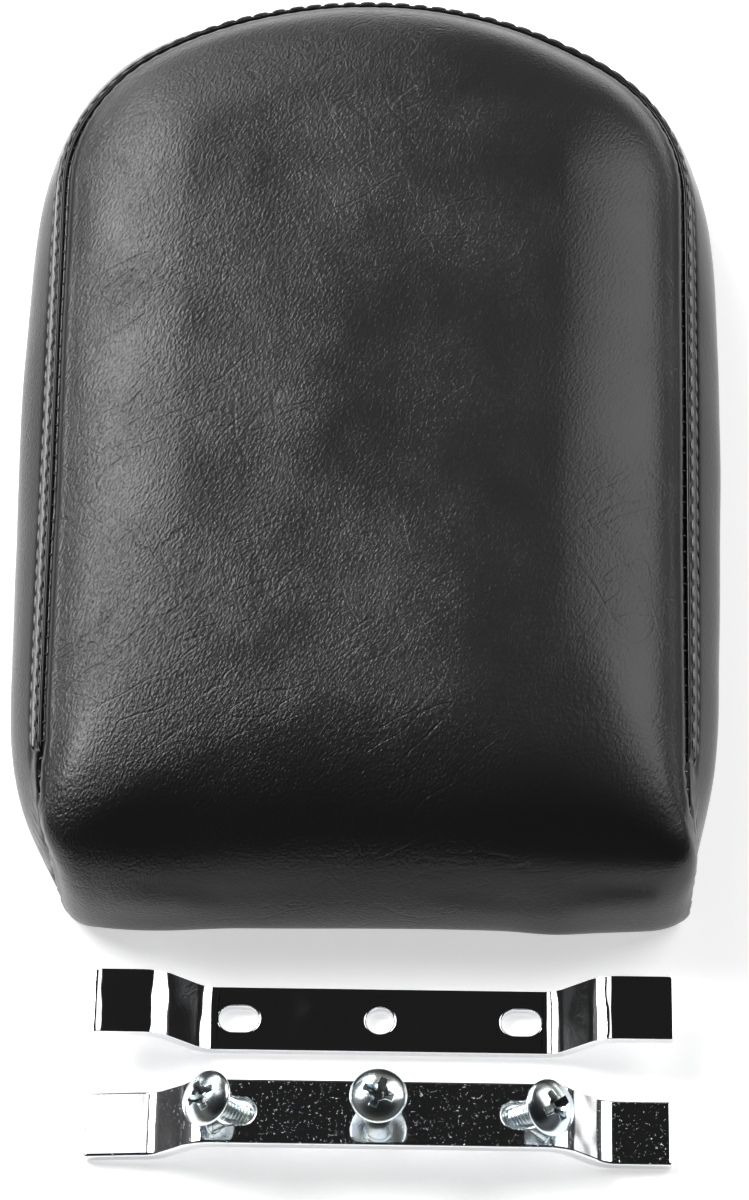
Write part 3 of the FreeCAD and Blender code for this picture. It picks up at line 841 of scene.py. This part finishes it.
def addThreads(bm):
    # one pitch of the thread's outline, wound up the shank
    s = screw
    r, core, pitch = s["major"] / 2, s["minor"] / 2, s["pitch"]
    turns = int((s["length"] - 0.4) / pitch)
    steps = s["threadSteps"]
    outline = [(core, 0.0), (core, pitch * 0.14), (r - 0.03, pitch * 0.47), (r, pitch * 0.5),
               (r - 0.03, pitch * 0.57), (core, pitch * 0.9), (core, pitch)]
    verts = [bm.verts.new((x * mm, 0, (z - pitch * 0.5) * mm)) for x, z in outline]
    edges = [bm.edges.new(pair) for pair in zip(verts, verts[1:])]
    bmesh.ops.spin(bm, geom=verts + edges, cent=(0, 0, 0), axis=(0, 0, 1),
                   dvec=(0, 0, pitch * mm / steps), angle=2 * math.pi * (turns + 1),
                   steps=steps * (turns + 1))
    # the tip is chamfered and closed by a core
    for v in bm.verts:
        if v.co.z < s["tip"] * mm * 1.2:
            limit = r * mm - s["tip"] * mm + max(v.co.z, 0)
            reach = math.hypot(v.co.x, v.co.y)
            if reach > limit and reach > 0:
                v.co.x *= limit / reach
                v.co.y *= limit / reach
            v.co.z = max(v.co.z, 0.0)
    bmesh.ops.create_cone(bm, cap_ends=True, segments=32, radius1=(r - s["tip"]) * mm,
                          radius2=(core + 0.04) * mm, depth=1.0 * mm,
                          matrix=Matrix.Translation((0, 0, 0.5 * mm)))
    bmesh.ops.create_cone(bm, cap_ends=True, segments=32, radius1=(core + 0.02) * mm,
                          radius2=(core + 0.02) * mm, depth=(s["length"] - 1.0) * mm,
                          matrix=Matrix.Translation((0, 0, (s["length"] / 2 + 0.4) * mm)))


def placeScrew(x, towardX, towardY, turn):
    s, t = screw, strap
    r = s["major"] / 2
    tilt = (Matrix.Rotation(math.radians(towardY), 4, "X")
            @ Matrix.Rotation(math.radians(towardX), 4, "Y"))
    axis = tilt @ Vector((0, 0, 1))
    side = math.sqrt(max(1 - axis.z ** 2, 0))
    lift = max((r - s["tip"]) * side, r * side - s["tip"] * axis.z)
    z = t["offset"] + t["thick"] / 2
    spot = Vector((t["shift"] + x - axis.x / axis.z * (z - lift),
                   t["lowerY"] - axis.y / axis.z * (z - lift), lift))
    return Matrix.Translation(spot * mm) @ tilt @ Matrix.Rotation(math.radians(turn), 4, "Z")


def buildScrew(name, node, x, towardX, towardY, turn):
    piece = newPiece(name, buildHead())
    cutAway(piece, recessCutter(), crossing=True)
    bm = bmesh.new()
    bm.from_mesh(piece.data)
    bmesh.ops.remove_doubles(bm, verts=bm.verts[:], dist=0.003 * mm)
    top = (screw["length"] + screw["rim"]) * mm
    rims = [e for e in bm.edges if len(e.link_faces) == 2 and e.calc_face_angle(0) > 0.6
            and min(v.co.z for v in e.verts) > top
            and max(math.hypot(v.co.x, v.co.y) for v in e.verts) < screw["span"] * 0.56 * mm]
    roundEdges(bm, rims, screw["recessRound"] * mm, 2, clamp_overlap=True)
    # how deep each point lies under the dome, which the plating turns into painted shade in the
    # recess
    deep = bm.verts.layers.float.new("deep")
    sphere = headSphere()
    for v in bm.verts:
        reach = math.hypot(v.co.x, v.co.y) / mm
        dome = screw["length"] + screw["height"] - sphere + math.sqrt(sphere ** 2 - reach ** 2)
        if v.co.z / mm > screw["length"] + 0.2 and reach < screw["span"] * 0.5:
            v[deep] = smoothStep(0.1, 1.0, dome - v.co.z / mm)
    addThreads(bm)
    bmesh.ops.transform(bm, verts=bm.verts[:], matrix=placeScrew(x, towardX, towardY, turn))
    for v in bm.verts:
        v.co.z = max(v.co.z, 0.0)
    bmesh.ops.recalc_face_normals(bm, faces=bm.faces[:])
    bm.to_mesh(piece.data)
    bm.free()
    piece.data.polygons.foreach_set("use_smooth", [True] * len(piece.data.polygons))
    piece.data.set_sharp_from_angle(angle=math.radians(screw["sharpAngle"]))
    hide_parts(node)
    return piece


print("screws")
screwPieces = [buildScrew(name, *facts) for name, facts in screw["leans"].items()]


def newMaterial(name):
    made = bpy.data.materials.new(name)
    made.use_nodes = True
    return made, made.node_tree, made.node_tree.nodes["Principled BSDF"]


def addNode(tree, kind, *inputs, **values):
    # inputs by order or name, each a value or another node's output, and settings by name
    node = tree.nodes.new("ShaderNode" + kind)
    for key, value in [*enumerate(inputs), *values.items()]:
        if isinstance(value, bpy.types.NodeSocket):
            tree.links.new(value, node.inputs[key])
        elif isinstance(key, int) or key in node.inputs:
            node.inputs[key].default_value = value
        else:
            setattr(node, key, value)
    return node


def addMath(tree, operation, *terms):
    return addNode(tree, "Math", *terms, operation=operation).outputs[0]


def fitRange(tree, source, before, after, soft=False):
    return addNode(tree, "MapRange", source, *before, *after,
                   interpolation_type="SMOOTHSTEP" if soft else "LINEAR").outputs[0]


def noiseField(tree, place, scale, **more):
    return addNode(tree, "TexNoise", place, Scale=scale, **more).outputs["Fac"]


def twoTone(tree, source, places, tones):
    ramp = addNode(tree, "ValToRGB", source)
    for end, place, tone in zip(ramp.color_ramp.elements, places, tones):
        end.position = place
        end.color = (*tone, 1)
    return ramp.outputs["Color"]


# face, boxing and band are one black vinyl: the face's colour is a little lighter, painted light,
# and the boxing's and band's darker, painted shade
vinyls = {
    "faceVinyl": {"colour": (0.0105, 0.0106, 0.0107), "roughness": 0.29, "grain": 0.8,
                  "creases": 0.42, "gloss": 0.4},
    "sideVinyl": {"colour": (0.004, 0.0041, 0.0043), "roughness": 0.17, "grain": 0.45,
                  "creases": 0.15, "gloss": 0.11},
    "bandVinyl": {"colour": (0.004, 0.0041, 0.0042), "roughness": 0.22, "grain": 0.15,
                  "creases": 0.0, "gloss": 0.5},
}
# two families of fold lines: turn in degrees, scale, stretch, width of a line, strength
foldLines = ((-56, 75.0, 3.4, 0.020, 1.0), (27, 85.0, 3.2, 0.018, 0.7))


def grainedVinyl(name):
    # pebbled grain: fine wrinkles that turn with the stretch, pores, and long fold lines
    v = vinyls[name]
    made, tree, shader = newMaterial(name)
    shader.inputs["Base Color"].default_value = (*v["colour"], 1)
    shader.inputs["Specular IOR Level"].default_value = v["gloss"]
    place = addNode(tree, "TexCoord").outputs["Object"]
    warp = addNode(tree, "TexNoise", place, Scale=38.0, Detail=2.0)
    shift = addNode(tree, "VectorMath", warp.outputs["Color"], operation="SCALE", Scale=0.0055)
    moved = addNode(tree, "VectorMath", place, shift.outputs[0], operation="ADD").outputs[0]
    stretch = addNode(tree, "Mapping", moved, vector_type="TEXTURE",
                      Rotation=(0, 0, math.radians(-28)), Scale=(1.0, 1.9, 1.0)).outputs[0]
    wrinkle = noiseField(tree, stretch, 2100.0, Detail=2.0, Roughness=0.5, Distortion=0.6)
    cells = addNode(tree, "TexVoronoi", stretch, feature="F1", Scale=1300.0, Randomness=1.0)
    patch = noiseField(tree, place, 26.0, Detail=2.0)
    # the grain is calmer at the right and towards the seam
    across = addNode(tree, "SeparateXYZ", place).outputs["X"]
    calm = fitRange(tree, across, (-0.03, 0.05), (1.0, 0.5), soft=True)
    fade = addNode(tree, "Attribute", attribute_name="grainFade").outputs["Fac"]
    amount = addMath(tree, "MULTIPLY", fade, calm)
    uneven = fitRange(tree, patch, (0.3, 0.7), (0.55 * v["grain"], 1.25 * v["grain"]))
    strength = addMath(tree, "MULTIPLY", amount, uneven)
    pores = addNode(tree, "Bump", Height=cells.outputs["Distance"], Distance=0.00014,
                    Strength=strength)
    last = addNode(tree, "Bump", Height=wrinkle, Distance=0.00021, Strength=strength,
                   Normal=pores.outputs[0])
    for turn, scale, long, reach, share in foldLines:
        aligned = addNode(tree, "Mapping", moved, vector_type="TEXTURE",
                          Rotation=(0, 0, math.radians(turn)), Scale=(1.0, long, 1.0))
        slow = noiseField(tree, aligned.outputs[0], scale, Detail=2.0, Roughness=0.5,
                          Distortion=0.3)
        # a line runs where the slow noise crosses its middle value
        away = addMath(tree, "ABSOLUTE", addMath(tree, "SUBTRACT", slow, 0.5))
        line = fitRange(tree, away, (0.0, reach), (0.0, 1.0), soft=True)
        most = v["creases"] * share
        where = fitRange(tree, patch, (0.44, 0.60), (0.1 * most, most), soft=True)
        held = addMath(tree, "MULTIPLY", where, amount)
        last = addNode(tree, "Bump", Height=line, Distance=0.00022, Strength=held,
                       Normal=last.outputs[0])
    tree.links.new(last.outputs[0], shader.inputs["Normal"])
    rough = fitRange(tree, patch, (0.0, 1.0), (v["roughness"] - 0.04, v["roughness"] + 0.06))
    tree.links.new(rough, shader.inputs["Roughness"])
    return made


metals = {
    "chrome": {"tones": ((0.80, 0.81, 0.83), (0.80, 0.81, 0.83)), "roughness": 0.04,
               "waves": 0.85, "pits": 0.0},
    "chromePitted": {"tones": ((0.78, 0.79, 0.81), (0.78, 0.79, 0.81)), "roughness": 0.07,
                     "waves": 0.5, "pits": 0.8},
    "zinc": {"tones": ((0.64, 0.73, 0.80), (0.74, 0.78, 0.74)), "roughness": 0.19,
             "waves": 0.05, "pits": 0.1},
}


def plated(name):
    # bright plating: slow waves of the rolled strip, and fine pits
    m = metals[name]
    made, tree, shader = newMaterial(name)
    shader.inputs["Metallic"].default_value = 1.0
    place = addNode(tree, "TexCoord").outputs["Object"]
    slow = noiseField(tree, place, 45.0, Detail=1.5, Roughness=0.45)
    specks = noiseField(tree, place, 1400.0, Detail=2.0, Roughness=0.7)
    patch = noiseField(tree, place, 160.0, Detail=2.0)
    waved = addNode(tree, "Bump", Height=slow, Distance=0.0014, Strength=m["waves"])
    pits = fitRange(tree, specks, (0.66, 0.71), (0.0, 1.0))
    pitted = addNode(tree, "Bump", Height=pits, Distance=0.00012, Strength=m["pits"],
                     Normal=waved.outputs[0])
    tree.links.new(pitted.outputs[0], shader.inputs["Normal"])
    rough = fitRange(tree, patch, (0.0, 1.0), (m["roughness"] * 0.6, m["roughness"] * 1.6))
    tree.links.new(rough, shader.inputs["Roughness"])
    # painted shade: the screws' recesses are darker
    deep = addNode(tree, "Attribute", attribute_name="deep").outputs["Fac"]
    paintedRecessShade = fitRange(tree, deep, (0.0, 1.0), (1.0, 0.4))
    tone = addNode(tree, "VectorMath", twoTone(tree, patch, (0.35, 0.65), m["tones"]),
                   operation="SCALE", Scale=paintedRecessShade)
    tree.links.new(tone.outputs[0], shader.inputs["Base Color"])
    return made


def plyBoard():
    made, tree, shader = newMaterial("plyBoard")
    place = addNode(tree, "TexCoord").outputs["Object"]
    stretch = addNode(tree, "Mapping", place, Scale=(60.0, 4.0, 60.0)).outputs[0]
    grain = noiseField(tree, stretch, 2.2, Detail=6.0, Roughness=0.65, Distortion=0.6)
    tones = ((0.34, 0.20, 0.10), (0.58, 0.40, 0.23))
    tree.links.new(twoTone(tree, grain, (0.3, 0.7), tones), shader.inputs["Base Color"])
    bump = addNode(tree, "Bump", Height=grain, Distance=0.0002, Strength=0.5)
    tree.links.new(bump.outputs[0], shader.inputs["Normal"])
    shader.inputs["Roughness"].default_value = 0.62
    return made


def threadYarn():
    made, tree, shader = newMaterial("stitchThread")
    place = addNode(tree, "TexCoord").outputs["Object"]
    twist = addNode(tree, "TexWave", place, Scale=1800.0, Distortion=2.0)
    # painted sheen: the black thread is coloured grey, between two greys along its twist, so the
    # stitches read as lit
    tones = ((0.05, 0.051, 0.052), (0.15, 0.152, 0.155))
    paintedSheenYarn = twoTone(tree, twist.outputs["Fac"], (0.0, 1.0), tones)
    tree.links.new(paintedSheenYarn, shader.inputs["Base Color"])
    shader.inputs["Roughness"].default_value = 0.2
    return made


def dressPiece(piece, *materials):
    piece.data.materials.clear()
    for made in materials:
        piece.data.materials.append(made)


print("materials")
faceVinyl, sideVinyl, bandVinyl = [grainedVinyl(name) for name in vinyls]
thread = threadYarn()
chrome, chromePitted, zinc = [plated(name) for name in metals]
board = plyBoard()
# clearing the slots sets every face to the first one
sides = [face.material_index for face in padCover.data.polygons]
dressPiece(padCover, faceVinyl, sideVinyl)
padCover.data.polygons.foreach_set("material_index", sides)
for piece, made in ((seamBand, bandVinyl), (topStitches, thread), (seamLinks, thread),
                    (hemStaples, zinc), (bracketUpper, chrome), (bracketLower, chromePitted),
                    *[(screwPiece, zinc) for screwPiece in screwPieces]):
    dressPiece(piece, made)
for nodeName, made in (("base_board", board), ("insert_upper", zinc),
                       ("insert_lower_left", zinc), ("insert_lower_right", zinc)):
    for holder in bpy.data.objects[nodeName].material_slots:
        holder.link = "OBJECT"
        holder.material = made


# lift is the floor's own glow; each lamp has its place, target, size in metres and watts
studio = {
    "lift": 0.56, "floorSize": 6.0, "floorDrop": -0.00005,
    "lamps": {"key": ((-1.55, 1.16, 1.76), (0, 0, 0), (1.9, 0.95), 88),
              "back": ((-1.0, 2.35, 1.2), (0, 0, 0), (1.1, 0.6), 16),
              "card": ((-0.626, 0.604, 1.973), (-0.07, -0.19, 0), (0.5, 0.5), 1.3),
              "fill": ((1.60, 1.00, 1.64), (0, 0, 0), (1.8, 1.8), 34)},
    # the ceiling's greys by height
    "greys": ((0.0, 0.03), (0.74, 0.011), (0.22, 0.08), (0.45, 0.15)),
}


def buildFloor():
    bm = bmesh.new()
    bmesh.ops.create_grid(bm, x_segments=1, y_segments=1, size=studio["floorSize"])
    bmesh.ops.translate(bm, vec=(0, 0, studio["floorDrop"]), verts=bm.verts[:])
    floor = meshObject("floor", bm)
    made, tree, shader = newMaterial("paleFloor")
    shader.inputs["Base Color"].default_value = (0.9, 0.9, 0.9, 1)
    shader.inputs["Roughness"].default_value = 0.9
    shader.inputs["Specular IOR Level"].default_value = 0.0
    # what the camera and the plating see is lifted to white, and shadows stay
    path = addNode(tree, "LightPath").outputs
    seen = addMath(tree, "MAXIMUM", path["Is Camera Ray"], path["Is Glossy Ray"])
    through = addMath(tree, "MAXIMUM", seen, path["Is Transmission Ray"])
    lift = addMath(tree, "MULTIPLY", through, studio["lift"])
    glow = addNode(tree, "Emission", (1, 1, 1, 1), lift)
    both = addNode(tree, "AddShader", shader.outputs[0], glow.outputs[0])
    tree.links.new(both.outputs[0], tree.nodes["Material Output"].inputs["Surface"])
    floor.data.materials.append(made)


def areaLight(name, place, target, size, power):
    lamp = bpy.data.lights.new(name, "AREA")
    lamp.shape = "RECTANGLE"
    lamp.size, lamp.size_y = size
    lamp.energy = power
    aimFrom(addObject(name, lamp), place, target)


def buildWorld():
    # a dark studio ceiling, with a paler band low down, brightest at the back and left
    world = bpy.data.worlds.new("studio")
    bpy.context.scene.world = world
    world.use_nodes = True
    tree = world.node_tree
    back = tree.nodes["Background"]
    place = addNode(tree, "TexCoord").outputs["Generated"]
    height = addNode(tree, "SeparateXYZ", place).outputs["Z"]
    ramp = addNode(tree, "ValToRGB", height)
    ramp.color_ramp.interpolation = "EASE"
    bands = ramp.color_ramp.elements
    for n, (position, grey) in enumerate(studio["greys"]):
        band = bands[n] if n < 2 else bands.new(position)
        band.position = position
        band.color = (grey, grey, grey, 1)
    side = addNode(tree, "VectorMath", place, (-0.2, 0.98, 0.0), operation="DOT_PRODUCT")
    level = fitRange(tree, side.outputs["Value"], (-1.0, 0.9), (0.7, 1.5))
    tree.links.new(ramp.outputs["Color"], back.inputs["Color"])
    tree.links.new(level, back.inputs["Strength"])


print("floor and light")
buildFloor()
buildWorld()
for name, facts in studio["lamps"].items():
    areaLight(name, *facts)
bpy.context.scene.view_settings.view_transform = "Standard"
